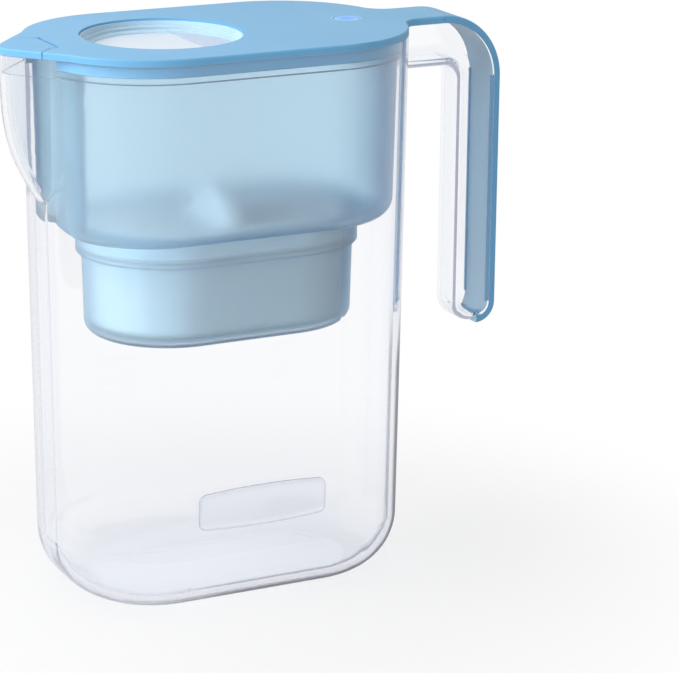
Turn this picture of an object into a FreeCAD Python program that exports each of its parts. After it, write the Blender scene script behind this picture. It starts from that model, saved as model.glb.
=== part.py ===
import FreeCAD, Part
import math
import os

import Sketcher

# Water filter pitcher, millimetres. The origin is the middle of the jug's flat base, +X points to the
# handle, -X to the spout and +Z up. The pitcher is symmetric about the XZ plane.

doc = FreeCAD.newDocument("water_filter_pitcher")

# Driving dimensions, by piece. A name that ends in share is a plain ratio.
SIZES = {
    # Jug
    "jug_height": 258.5,
    "rim_half_length": 88.6,
    "rim_half_width": 58.9,
    "rim_end_half_flat": 6.9,
    "wall_draft_share": 0.0125,
    "base_edge_radius": 28,
    "jug_floor": 4,
    "jug_wall": 3.4,
    "rim_wall": 1.6,
    "rim_depth": 8.2,
    # Spout
    "spout_reach": 16.4,
    "spout_drop": 72,
    "spout_tip_radius": 11,
    "spout_wall": 2.6,
    "spout_root_sink": 1.6,
    "spout_root_angle": 38,
    # Handle
    "handle_width": 28,
    "handle_length": 152,
    "bridge_depth": 25,
    "finger_gap": 32.9,
    "grip_depth": 20,
    "handle_corner_radius": 31,
    "gap_corner_radius": 7,
    "foot_outer_radius": 10,
    "foot_flat": 0.4,
    "foot_edge_margin": 1.4,
    "grip_wall": 3,
    "grip_side_wall": 2.2,
    "channel_start": 1.2,
    # Handle cover
    "cover_thickness": 3.3,
    "cover_seat_gap": 0.2,
    "cover_edge_radius": 1,
    "cover_rail_height": 1.6,
    "cover_rail_width": 1.4,
    "cover_rail_gap": 0.25,
    # Lid plate and tongue
    "lid_thickness": 3.3,
    "lid_gap": 0.2,
    "lid_edge_radius": 0.9,
    "tongue_root_radius": 12,
    "seam_gap": 0.3,
    # Lid skirt
    "skirt_rest_gap": 0.2,
    "skirt_gap": 0.4,
    "skirt_thickness": 1.8,
    "skirt_notch_gap": 1,
    "nub_radius": 1.5,
    "nub_proud": 0.25,
    "nub_rise": 2.7,
    # Fill well: ring, flap, pin and counterweight
    "well_offset": 27.2,
    "well_radius": 37.4,
    "well_gap": 0.3,
    "ring_top_drop": 1,
    "ring_foot_drop": 4.3,
    "ring_flange_width": 1.5,
    "ring_flange_height": 1.9,
    "ring_mouth_wall": 0.9,
    "ring_step_drop": 2.6,
    "ring_step_wall": 2.2,
    "ring_step_chamfer": 0.5,
    "ring_lip_height": 0.7,
    "ring_lip_cover": 0.8,
    "ring_wall": 3.5,
    "flap_drop": 6.2,
    "flap_thickness": 1.2,
    "flap_rim_gap": 0.6,
    "flap_crease_width": 0.9,
    "flap_crease_depth": 0.4,
    "flap_lip_gap": 0.2,
    "flap_pivot_offset": 17,
    "flap_pivot_drop": 2.6,
    "flap_knuckle_radius": 2.3,
    "flap_knuckle_near": 10,
    "flap_knuckle_far": 22,
    "flap_pin_radius": 1.2,
    "flap_pin_end_wall": 1,
    "pin_running_gap": 0.05,
    "pin_seat_gap": 0.02,
    "weight_rim_gap": 2,
    "weight_start": 2.8,
    "weight_thickness": 5,
    "weight_gap": 0.2,
    "stake_radius": 1.2,
    "stake_gap": 0.15,
    "stake_offset": 8,
    "stake_half_spacing": 12,
    # Spout flap and its pin
    "hinge_inset": 5.65,
    "hinge_half_width": 12,
    "flap_side_run": 2.4,
    "flap_spread": 13,
    "spout_flap_gap": 0.6,
    "spout_flap_back_gap": 0.3,
    "spout_pin_radius": 0.8,
    "spout_pin_hold": 6,
    # Reservoir
    "reservoir_seat_gap": 0.1,
    "flange_gap": 0.4,
    "flange_thickness": 2.9,
    "basin_inset": 5.1,
    "basin_draft_share": 0.02,
    "basin_depth": 76.3,
    "basin_edge_radius": 10,
    "reservoir_wall": 2.2,
    "channel_half_width": 18,
    "channel_depth": 9.5,
    "pocket_end_inset": 15.7,
    "pocket_side_inset": 11,
    "pocket_step_drop": 11,
    "pocket_step_width": 2.6,
    "pocket_drop": 39,
    "pocket_draft": 1,
    "pocket_edge_radius": 6,
    "outlet_x": 28,
    "outlet_radius": 7,
    # Cartridge
    "cartridge_gap": 0.6,
    "cup_gap": 1,
    "seal_height": 1.2,
    "seal_gap": 0.1,
    "cup_flange_height": 4.4,
    "cup_bottom_gap": 2,
    "cup_wall": 1.8,
    "cup_edge_radius": 4,
    "cup_outlet_radius": 9,
    "screen_thickness": 0.8,
    "screen_gap": 0.2,
    "media_drop": 3,
    "cap_thickness": 3.2,
    "cap_plug_depth": 1.6,
    "cap_plug_gap": 0.2,
    "plateau_margin": 6,
    "plateau_depth": 0.8,
    "arch_half_width": 21,
    "arch_height": 17,
    "arch_thickness": 9,
    "arch_edge_radius": 2,
    "dish_radius": 16,
    "dish_depth": 2.6,
    "rosette_x": 30,
    "rosette_pitch": 4.2,
    "rosette_hole_radius": 0.8,
    # Filter indicator under the lid
    "module_inset": 22.6,
    "button_radius": 5.8,
    "button_hole_gap": 0.4,
    "button_flange_radius": 7.4,
    "button_flange_height": 1,
    "button_stem_drop": 0.7,
    "button_top_drop": 0.1,
    "button_seal_height": 0.9,
    "button_seal_gap": 0.1,
    "button_travel": 0.8,
    "light_ring_radius": 7.5,
    "light_ring_height": 1.2,
    "light_ring_gap": 0.05,
    "housing_wall": 1.7,
    "housing_shelf_width": 1.2,
    "board_margin": 1.1,
    "board_side_gap": 0.3,
    "board_thickness": 1.2,
    "board_seat_gap": 0.1,
    "switch_half_width": 2.3,
    "switch_height": 1.8,
    "switch_plunger_radius": 1.2,
    "led_half_width": 1.3,
    "led_height": 1.2,
    "led_inset": 3.2,
    "clip_thickness": 0.4,
    "clip_half_width": 3,
    "clip_gap": 0.1,
    "cell_radius": 10,
    "cell_height": 3.2,
    "cell_show": 1.1,
    "cell_rim_step": 1.1,
    "cell_rim_height": 0.6,
    "gasket_height": 1.6,
    "gasket_gap": 0.1,
    "module_cover_thickness": 1.6,
    "cell_pad_gap": 0.2,
    "cell_pad_radius": 9,
    "screw_stand_off": 2.2,
    "screw_boss_radius": 3.2,
    "screw_radius": 1,
    "screw_hole_gap": 0.05,
    "screw_depth": 7,
    "screw_head_radius": 2,
    "screw_head_height": 1.4,
    # How far a cutting solid runs past what it cuts
    "overrun": 2,
}

sheet = doc.addObject("Spreadsheet::Sheet", "Sizes")
for row, (alias, value) in enumerate(SIZES.items(), start=1):
    sheet.set("A%d" % row, alias)
    sheet.set("B%d" % row, str(value))
    sheet.setAlias("B%d" % row, alias)
doc.recompute()


class Size:
    """A length together with the spreadsheet formula that it comes from."""

    def __init__(self, value, formula):
        self.value = value
        self.formula = formula

    def __add__(self, other):
        other = as_size(other)
        return Size(self.value + other.value, "(%s + %s)" % (self.formula, other.formula))

    def __sub__(self, other):
        other = as_size(other)
        return Size(self.value - other.value, "(%s - %s)" % (self.formula, other.formula))

    def __mul__(self, other):
        other = as_size(other)
        return Size(self.value * other.value, "(%s * %s)" % (self.formula, other.formula))

    def __truediv__(self, other):
        other = as_size(other)
        return Size(self.value / other.value, "(%s / %s)" % (self.formula, other.formula))

    def __neg__(self):
        return Size(-self.value, "(-%s)" % self.formula)

    def __rsub__(self, other):
        return as_size(other) - self

    __radd__ = __add__
    __rmul__ = __mul__


def as_size(thing):
    return thing if isinstance(thing, Size) else Size(float(thing), repr(float(thing)))


def square_root(size):
    return Size(math.sqrt(size.value), "sqrt(%s)" % size.formula)


class SizeSheet:
    """The spreadsheet's cells by alias."""

    def __getattr__(self, alias):
        return Size(float(sheet.get(alias)), "Sizes." + alias)


s = SizeSheet()
NOTHING = as_size(0)
TINY = 1e-6

# Heights and places that several pieces share
rim_corner_radius = s.rim_half_width - s.rim_end_half_flat
ledge_height = s.jug_height - s.rim_depth
lid_bottom = s.jug_height + s.lid_gap
lid_top = lid_bottom + s.lid_thickness
tank_flange_low = ledge_height + s.reservoir_seat_gap
tank_flange_high = tank_flange_low + s.flange_thickness
basin_half_length = s.rim_half_length - s.basin_inset
channel_back_x = s.channel_depth - basin_half_length
well_x = -s.well_offset
module_x = s.rim_half_length - s.module_inset


def bind(item, prop, size):
    item.setExpression(prop, as_size(size).formula)


def new_body(name):
    return doc.addObject("PartDesign::Body", name)


def new_sketch(body, role, level=None):
    """A sketch on one of the body's own planes, lifted along the plane's normal to a level."""
    sketch = body.newObject("Sketcher::SketchObject", body.Name + "_sketch")
    plane = [item for item in body.Origin.OriginFeatures if item.Role == role][0]
    sketch.AttachmentSupport = [(plane, "")]
    sketch.MapMode = "FlatFace"
    if level is not None:
        bind(sketch, "AttachmentOffset.Base.z", level)
    return sketch


def pin_point(sketch, edge, end, x, y):
    """Holds one end of an edge at a place given by two sizes."""
    for kind, axis, size in (("DistanceX", -2, as_size(x)), ("DistanceY", -1, as_size(y))):
        if size.value == 0:
            sketch.addConstraint(Sketcher.Constraint("PointOnObject", edge, end, axis))
        else:
            index = sketch.addConstraint(Sketcher.Constraint(kind, -1, 1, edge, end, size.value))
            bind(sketch, "Constraints[%d]" % index, size)


def edge_ends(corner):
    """The numbers of an edge's start and end points: an arc to the right is stored backwards."""
    backwards = len(corner) > 2 and corner[3] < 0
    return (2, 1) if backwards else (1, 2)


def outline(body, role, corners, level=None):
    """A closed sketch. Each corner is (x, y), reached by a straight edge from the corner before it, or
    (x, y, radius, turn), reached by an arc that turns left (1) or right (-1)."""
    sketch = new_sketch(body, role, level)
    places = [FreeCAD.Vector(as_size(c[0]).value, as_size(c[1]).value, 0) for c in corners]
    edges = []
    for index, corner in enumerate(corners):
        start, end = places[index - 1], places[index]
        if len(corner) == 2:
            edges.append(sketch.addGeometry(Part.LineSegment(start, end)))
            continue
        radius, turn = as_size(corner[2]).value, corner[3]
        chord = end - start
        across = FreeCAD.Vector(-chord.y, chord.x, 0).normalize()
        rise = math.sqrt(max(radius ** 2 - chord.Length ** 2 / 4, 0))
        centre = (start + end) / 2 + across * (turn * rise)
        middle = centre - across * (turn * radius)
        edges.append(sketch.addGeometry(Part.Arc(start, middle, end)))
    for index, corner in enumerate(corners):
        before = index - 1
        start_end, far_end = edge_ends(corner)
        last_end = edge_ends(corners[before])[1]
        sketch.addConstraint(
            Sketcher.Constraint("Coincident", edges[before], last_end, edges[index], start_end))
        pin_point(sketch, edges[index], far_end, corner[0], corner[1])
        if len(corner) > 2:
            number = sketch.addConstraint(
                Sketcher.Constraint("Radius", edges[index], as_size(corner[2]).value))
            bind(sketch, "Constraints[%d]" % number, corner[2])
    return sketch


def rounded(body, level, half_length, half_width, radius):
    """A rounded rectangle about the Z axis, at a level."""
    x, y = as_size(half_length), as_size(half_width)
    return outline(body, "XY_Plane", [
        (x - radius, -y),
        (x, radius - y, radius, 1),
        (x, y - radius),
        (x - radius, y, radius, 1),
        (radius - x, y),
        (-x, y - radius, radius, 1),
        (-x, radius - y),
        (radius - x, -y, radius, 1),
    ], level)


def oval(body, level, half_length, half_width):
    """A stadium about the Z axis, at a level: straight sides and half-round ends."""
    x, y = as_size(half_length), as_size(half_width)
    return outline(body, "XY_Plane", [
        (x - y, -y),
        (x, 0, y, 1),
        (x - y, y, y, 1),
        (y - x, y),
        (-x, 0, y, 1),
        (y - x, -y, y, 1),
    ], level)


def pad(body, sketch, length, both=False):
    feature = body.newObject("PartDesign::Pad", body.Name + "_pad")
    feature.Profile = sketch
    feature.SideType = "Symmetric" if both else "One side"
    bind(feature, "Length", length)
    return feature


def prism(body, sketch, height, lean_share):
    """A pad whose sides lean out by a share of its height."""
    straight = pad(body, sketch, height)
    doc.recompute()
    level = straight.Shape.BoundBox.ZMin
    sides, base = [], []
    for number, face in enumerate(straight.Shape.Faces, start=1):
        if face.BoundBox.ZLength > TINY:
            sides.append("Face%d" % number)
        elif face.BoundBox.ZMax < level + TINY:
            base.append("Face%d" % number)
    feature = body.newObject("PartDesign::Draft", body.Name + "_draft")
    feature.Base = (straight, sides)
    feature.NeutralPlane = (straight, base)
    feature.Reversed = True
    feature.setExpression("Angle", "atan(%s)" % lean_share.formula)
    return feature


def revolve(body, sketch):
    feature = body.newObject("PartDesign::Revolution", body.Name + "_turn")
    feature.Profile = sketch
    feature.ReferenceAxis = (sketch, ["V_Axis"])
    feature.Angle = 360
    return feature


def pick_edges(shape, wanted):
    return ["Edge%d" % number for number, edge in enumerate(shape.Edges, start=1) if wanted(edge)]


def at_level(size):
    """True of an edge that lies wholly at one height."""
    height = as_size(size).value
    return lambda edge: height - TINY < edge.BoundBox.ZMin and edge.BoundBox.ZMax < height + TINY


def fillet(body, radius, wanted):
    doc.recompute()
    base = body.Tip
    names = pick_edges(base.Shape, wanted)
    feature = body.newObject("PartDesign::Fillet", body.Name + "_fillet")
    feature.Base = (base, names)
    bind(feature, "Radius", radius)
    return feature


def fuse(name, *items):
    feature = doc.addObject("Part::MultiFuse", name)
    feature.Shapes = list(items)
    return feature


def common(name, *items):
    feature = doc.addObject("Part::MultiCommon", name)
    feature.Shapes = list(items)
    return feature


def cut(name, base, *tools):
    feature = doc.addObject("Part::Cut", name)
    feature.Base = base
    feature.Tool = tools[0] if len(tools) == 1 else fuse(name + "_tools", *tools)
    return feature


def box(name, low, high):
    """A box between two corners."""
    feature = doc.addObject("Part::Box", name)
    for letter, prop, start, end in zip("xyz", ("Length", "Width", "Height"), low, high):
        bind(feature, prop, as_size(end) - start)
        bind(feature, "Placement.Base." + letter, start)
    return feature


def cylinder(name, x, y, low, high, radius):
    """An upright cylinder."""
    feature = doc.addObject("Part::Cylinder", name)
    bind(feature, "Radius", radius)
    bind(feature, "Height", as_size(high) - low)
    for letter, size in zip("xyz", (x, y, low)):
        bind(feature, "Placement.Base." + letter, size)
    return feature


def cross_pin(name, x, z, radius, near, far):
    """A cylinder along Y, from one side distance to another."""
    feature = doc.addObject("Part::Cylinder", name)
    bind(feature, "Radius", radius)
    bind(feature, "Height", as_size(far) - near)
    feature.Placement = FreeCAD.Placement(
        FreeCAD.Vector(0, 0, 0), FreeCAD.Rotation(FreeCAD.Vector(1, 0, 0), -90))
    for letter, size in zip("xyz", (x, near, z)):
        bind(feature, "Placement.Base." + letter, size)
    return feature


NODES = {}


def node(name, item):
    """Names a finished piece, which gives its file the same name."""
    item.Label = name
    NODES[name] = item
    return item


# The jug's own outline at any height, inset by a wall
def jug_section(body, level, wall):
    inset = s.wall_draft_share * (s.jug_height - level) + wall
    return rounded(body, level, s.rim_half_length - inset, s.rim_half_width - inset,
                   rim_corner_radius - inset)


def jug_form(name, low, high, wall):
    body = new_body(name)
    prism(body, jug_section(body, low, wall), high - low, s.wall_draft_share)
    return body


# The spout is a beak that grows out of the jug's end: a round tip and two straight flanks that meet the
# jug's corners. Its reach shrinks downwards until it has sunk into the wall.
SPOUT_DROP_SHARES = (0, 0.25, 0.53, 0.78, 1)
SPOUT_REACH_SHARES = (1, 0.97, 0.84, 0.44, -0.12)
SPOUT_TIP_SHARES = (1, 1, 1.1, 1.5, 2)


def beak_wire(level, reach, tip_radius, wall):
    """The beak's plan at one height: tip arc, flanks and a straight back inside the jug."""
    inset = s.wall_draft_share.value * (s.jug_height.value - level)
    corner_radius = rim_corner_radius.value - inset
    corner_x = s.rim_half_length.value - rim_corner_radius.value
    corner_y = s.rim_half_width.value - rim_corner_radius.value
    root_radius = corner_radius - wall - s.spout_root_sink.value
    angle = math.radians(s.spout_root_angle.value)
    root = FreeCAD.Vector(
        -corner_x - root_radius * math.cos(angle), corner_y + root_radius * math.sin(angle), level)
    tip_x = -(s.rim_half_length.value - inset + reach - wall)
    radius = tip_radius - wall
    centre = FreeCAD.Vector(tip_x + radius, 0, level)
    away = root - centre
    lean = math.atan2(away.y, away.x) + math.acos(radius / away.Length)
    touch = centre + FreeCAD.Vector(math.cos(lean), math.sin(lean), 0) * radius

    def mirrored(point):
        return FreeCAD.Vector(point.x, -point.y, point.z)

    tip = FreeCAD.Vector(tip_x, 0, level)
    edges = [
        Part.LineSegment(root, touch).toShape(),
        Part.Arc(touch, tip, mirrored(touch)).toShape(),
        Part.LineSegment(mirrored(touch), mirrored(root)).toShape(),
        Part.LineSegment(mirrored(root), root).toShape(),
    ]
    return Part.Wire(edges)


def spout_form(name, wall):
    """The spout's body, or with a wall its hollow."""
    wires = []
    for drop, reach, tip in zip(SPOUT_DROP_SHARES, SPOUT_REACH_SHARES, SPOUT_TIP_SHARES):
        level = s.jug_height.value - drop * s.spout_drop.value
        wires.append(beak_wire(level, reach * s.spout_reach.value, tip * s.spout_tip_radius.value, wall))
    feature = doc.addObject("Part::Feature", name)
    feature.Shape = Part.makeLoft(wires, True, False)
    return feature


def beak_plate(name, low, high, wall, edge_radius=0):
    """An upright slice of the beak at its full reach, with its top edge rounded if asked."""
    plan = Part.Face(beak_wire(low.value, s.spout_reach.value, s.spout_tip_radius.value, wall))
    shape = plan.extrude(FreeCAD.Vector(0, 0, high.value - low.value))
    if edge_radius:
        at_top = at_level(high)
        front = [edge for edge in shape.Edges if at_top(edge) and edge.BoundBox.XLength > TINY]
        shape = shape.makeFillet(edge_radius, front)
    feature = doc.addObject("Part::Feature", name)
    feature.Shape = shape
    return feature


# The handle is a hook: a bridge from the rim, a grip that hangs free and a rounded foot.
handle_bottom = lid_top - s.handle_length
bridge_bottom = lid_top - s.bridge_depth
grip_inner_x = s.rim_half_length + s.finger_gap
grip_outer_x = grip_inner_x + s.grip_depth
corner_x = grip_outer_x - s.handle_corner_radius
corner_z = lid_top - s.handle_corner_radius
tongue_end_x = corner_x - s.seam_gap
cover_back = s.cover_thickness + s.cover_seat_gap
foot_end_x = grip_outer_x - s.foot_outer_radius
foot_centre_z = handle_bottom + s.foot_outer_radius
hook_root_x = s.rim_half_length - s.jug_wall
hook_back_x = foot_end_x - s.cover_seat_gap
hook_top = bridge_bottom + hook_back_x - grip_inner_x
foot_inner_radius = hook_back_x - s.foot_flat - grip_inner_x
grip_edge_radius = foot_inner_radius - s.foot_edge_margin


def finger_edges(left, right, top):
    """True of a hook's long edges on its finger side, within three limits."""
    def wanted(edge):
        middle = edge.valueAt((edge.FirstParameter + edge.LastParameter) / 2)
        inside = left.value + TINY < middle.x < right.value - TINY and middle.z < top.value - TINY
        return inside and edge.BoundBox.YLength < TINY
    return wanted


def make_hook():
    """Finger side of the handle, with rounded long edges."""
    body = new_body("handle_hook")
    profile = outline(body, "XZ_Plane", [
        (hook_root_x, bridge_bottom),
        (grip_inner_x - s.gap_corner_radius, bridge_bottom),
        (grip_inner_x, bridge_bottom - s.gap_corner_radius, s.gap_corner_radius, -1),
        (grip_inner_x, handle_bottom + foot_inner_radius),
        (grip_inner_x + foot_inner_radius, handle_bottom, foot_inner_radius, 1),
        (hook_back_x, handle_bottom),
        (hook_back_x, hook_top),
        (hook_root_x, hook_top),
    ])
    pad(body, profile, s.handle_width, both=True)
    fillet(body, grip_edge_radius, finger_edges(hook_root_x, hook_back_x, hook_top))
    return body


def make_hook_back():
    """Outer side of the handle, which stands back to seat the cover."""
    body = new_body("handle_back")
    outer_x = grip_outer_x - cover_back
    profile = outline(body, "XZ_Plane", [
        (hook_root_x, hook_top),
        (hook_back_x, hook_top),
        (hook_back_x, handle_bottom + cover_back),
        (foot_end_x, handle_bottom + cover_back),
        (outer_x, foot_centre_z, s.foot_outer_radius - cover_back, 1),
        (outer_x, corner_z),
        (corner_x, lid_top - cover_back, s.handle_corner_radius - cover_back, 1),
        (hook_root_x, lid_top - cover_back),
    ])
    pad(body, profile, s.handle_width, both=True)
    return body


def make_channel():
    """Hollow of the handle, open to the top and to the back."""
    body = new_body("handle_channel")
    start_x = s.rim_half_length + s.channel_start
    bend = s.gap_corner_radius + s.grip_wall
    foot = foot_inner_radius - s.grip_wall
    wall_x = grip_inner_x + s.grip_wall
    floor = handle_bottom + s.grip_wall
    profile = outline(body, "XZ_Plane", [
        (start_x, bridge_bottom + s.grip_wall),
        (wall_x - bend, bridge_bottom + s.grip_wall),
        (wall_x, bridge_bottom - s.gap_corner_radius, bend, -1),
        (wall_x, handle_bottom + foot_inner_radius),
        (wall_x + foot, floor, foot, 1),
        (grip_outer_x, floor),
        (grip_outer_x, lid_top),
        (start_x, lid_top),
    ])
    pad(body, profile, s.handle_width - s.grip_side_wall * 2, both=True)
    fillet(body, grip_edge_radius - s.grip_wall, finger_edges(start_x, grip_outer_x, lid_top))
    return body


def make_jug():
    outside = jug_form("jug_outside", NOTHING, s.jug_height, NOTHING)
    fillet(outside, s.base_edge_radius, at_level(0))
    hollow = jug_form("jug_hollow", s.jug_floor, s.jug_height + s.overrun, s.jug_wall)
    fillet(hollow, s.base_edge_radius - s.jug_wall, at_level(s.jug_floor))
    rim = jug_form("jug_rim_recess", ledge_height, s.jug_height + s.overrun, s.rim_wall)
    rim_beak = beak_plate("spout_rim_recess", ledge_height, s.jug_height + s.overrun, s.rim_wall.value)
    spout = spout_form("spout_outside", 0)
    spout_hollow = spout_form("spout_hollow", s.spout_wall.value)
    solid = fuse("jug_solid", outside, spout, make_hook(), make_hook_back())
    return node("jug", cut("jug", solid, hollow, rim, rim_beak, spout_hollow, make_channel()))


def make_handle_cover():
    body = new_body("handle_cover")
    inner_radius = s.handle_corner_radius - s.cover_thickness
    foot_radius = s.foot_outer_radius - s.cover_thickness
    inner_x = grip_outer_x - s.cover_thickness
    profile = outline(body, "XZ_Plane", [
        (corner_x, lid_bottom),
        (inner_x, corner_z, inner_radius, -1),
        (inner_x, foot_centre_z),
        (foot_end_x, handle_bottom + s.cover_thickness, foot_radius, -1),
        (foot_end_x, handle_bottom),
        (grip_outer_x, foot_centre_z, s.foot_outer_radius, 1),
        (grip_outer_x, corner_z),
        (corner_x, lid_top, s.handle_corner_radius, 1),
    ])
    pad(body, profile, s.handle_width, both=True)

    def back_edge(edge):
        """True of the long outer edges of the grip and of the bend above it."""
        middle = edge.valueAt((edge.FirstParameter + edge.LastParameter) / 2)
        above = max(middle.z - corner_z.value, 0)
        reach = math.hypot(middle.x - corner_x.value, above)
        on_back = reach > s.handle_corner_radius.value - s.cover_thickness.value / 4
        return on_back and middle.z > foot_centre_z.value and edge.BoundBox.YLength < TINY

    fillet(body, s.cover_edge_radius, back_edge)
    # The rails stand on the cover's inner face and are rooted in half of its thickness.
    reach = s.handle_width / 2 - s.grip_side_wall - s.cover_rail_gap
    root_x = inner_x + s.cover_thickness / 2
    rails = []
    for low_y, high_y in ((-reach, s.cover_rail_width - reach), (reach - s.cover_rail_width, reach)):
        rails.append(box("cover_rail", (inner_x - s.cover_rail_height, low_y, foot_centre_z),
                         (root_x, high_y, corner_z)))
    return node("handle_cover", fuse("handle_cover_whole", body, *rails))


# The reservoir's basin and pocket, and the inner faces of the pocket, which the cartridge follows
basin_half_width = s.rim_half_width - s.basin_inset
basin_corner_radius = rim_corner_radius - s.basin_inset
basin_bottom = ledge_height - s.basin_depth
pocket_half_length = basin_half_length - s.pocket_end_inset
pocket_half_width = basin_half_width - s.pocket_side_inset
pocket_step_height = basin_bottom - s.pocket_step_drop
pocket_bottom = pocket_step_height - s.pocket_drop
seat_height = pocket_step_height + s.reservoir_wall
upper_half_length = pocket_half_length - s.reservoir_wall
upper_half_width = pocket_half_width - s.reservoir_wall
lower_half_length = upper_half_length - s.pocket_step_width
lower_half_width = upper_half_width - s.pocket_step_width
pocket_floor = pocket_bottom + s.reservoir_wall


def basin_form(name, low, high, wall):
    body = new_body(name)
    inset = s.basin_draft_share * (ledge_height - low) + wall
    section = rounded(body, low, basin_half_length - inset, basin_half_width - inset,
                      basin_corner_radius - inset)
    prism(body, section, high - low, s.basin_draft_share)
    fillet(body, s.basin_edge_radius - wall, at_level(low))
    return body


def oval_form(name, low, high, half_length, half_width, draft=None):
    """An upright oval solid of a given plan, which narrows towards its base by a draft."""
    body = new_body(name)
    if draft is None:
        pad(body, oval(body, low, half_length, half_width), high - low)
    else:
        base = oval(body, low, half_length - draft, half_width - draft)
        prism(body, base, high - low, draft / (high - low))
    return body


def make_reservoir():
    wall = s.reservoir_wall
    basin = basin_form("basin_outside", basin_bottom, tank_flange_high, NOTHING)
    hollow = basin_form("basin_hollow", basin_bottom + wall, tank_flange_high + s.overrun, wall)
    flange = new_body("reservoir_flange")
    pad(flange, jug_section(flange, tank_flange_low, s.rim_wall + s.flange_gap), s.flange_thickness)
    upper = oval_form("pocket_upper", pocket_step_height, basin_bottom + wall, pocket_half_length,
                      pocket_half_width)
    lower = oval_form("pocket_lower", pocket_bottom, seat_height, lower_half_length + wall,
                      lower_half_width + wall, s.pocket_draft)
    fillet(lower, s.pocket_edge_radius, at_level(pocket_bottom))
    upper_hollow = oval_form("pocket_upper_hollow", seat_height, basin_bottom + wall + s.overrun,
                             upper_half_length, upper_half_width)
    lower_hollow = oval_form("pocket_lower_hollow", pocket_floor, seat_height + s.overrun, lower_half_length,
                             lower_half_width, s.pocket_draft)
    fillet(lower_hollow, s.pocket_edge_radius - wall, at_level(pocket_floor))

    # The pour channel: the end wall steps back between the two flanks of the spout.
    far_x = -s.rim_half_length - s.overrun
    low_z = basin_bottom - s.overrun
    high_z = tank_flange_high + s.overrun
    channel = box("pour_channel", (far_x, -s.channel_half_width, low_z),
                  (channel_back_x, s.channel_half_width, high_z))
    grown = s.channel_half_width + wall
    channel_wall = box("pour_channel_wall", (far_x, -grown, low_z), (channel_back_x + wall, grown, high_z))
    outlets = [cylinder("outlet_hole", side * s.outlet_x, NOTHING, pocket_bottom - s.overrun,
                        pocket_floor + s.overrun, s.outlet_radius) for side in (-1, 1)]
    solid = fuse("reservoir_solid", basin, flange, upper, lower)
    inside = cut("basin_inside", hollow, channel_wall)
    return node("reservoir", cut("reservoir", solid, inside, channel, upper_hollow, lower_hollow, *outlets))


# The cartridge's levels, from the seal up
seal_low = seat_height + s.seal_gap
cup_flange_low = seal_low + s.seal_height + s.seal_gap
cap_low = cup_flange_low + s.cup_flange_height
cup_bottom = pocket_floor + s.cup_bottom_gap
cup_floor = cup_bottom + s.cup_wall
cup_half_length = lower_half_length - s.cup_gap
cup_half_width = lower_half_width - s.cup_gap
cup_inner_length = cup_half_length - s.cup_wall
cup_inner_width = cup_half_width - s.cup_wall


def make_cup():
    outer_length = upper_half_length - s.cartridge_gap
    outer_width = upper_half_width - s.cartridge_gap
    flange = oval_form("cup_flange", cup_flange_low, cap_low, outer_length, outer_width)
    cup = oval_form("cup_outside", cup_bottom, cap_low, cup_half_length, cup_half_width, s.pocket_draft)
    fillet(cup, s.cup_edge_radius, at_level(cup_bottom))
    hollow = oval_form("cup_hollow", cup_floor, cap_low + s.overrun, cup_inner_length, cup_inner_width,
                       s.pocket_draft)
    outlets = [cylinder("cup_outlet", side * s.outlet_x, NOTHING, cup_bottom - s.overrun,
                        cup_floor + s.overrun, s.cup_outlet_radius) for side in (-1, 1)]
    node("cartridge_cup", cut("cartridge_cup", fuse("cup_solid", flange, cup), hollow, *outlets))

    seal = oval_form("seal_outside", seal_low, seal_low + s.seal_height, outer_length, outer_width)
    seal_hole = oval_form("seal_hole", seal_low - s.overrun, seal_low + s.seal_height + s.overrun,
                          lower_half_length, lower_half_width)
    node("cartridge_seal", cut("cartridge_seal", seal, seal_hole))


def make_cup_contents():
    length = cup_inner_length - s.pocket_draft - s.screen_gap
    width = cup_inner_width - s.pocket_draft - s.screen_gap
    low = cup_floor + s.screen_gap
    levels = [low, low + s.screen_thickness]
    media_low = levels[1] + s.screen_gap
    media_high = cap_low - s.cap_plug_depth - s.media_drop
    screen_low = media_high + s.screen_gap
    spans = {
        "outlet_screen": (low, levels[1]),
        "filter_media": (media_low, media_high),
        "inlet_screen": (screen_low, screen_low + s.screen_thickness),
    }
    for name, (start, end) in spans.items():
        node(name, oval_form(name, start, end, length, width))


# Rosettes of inlet holes: rows of small holes that run out from a centre
ROSETTE_SPOKES = 14
ROSETTE_RINGS = 4


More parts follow.
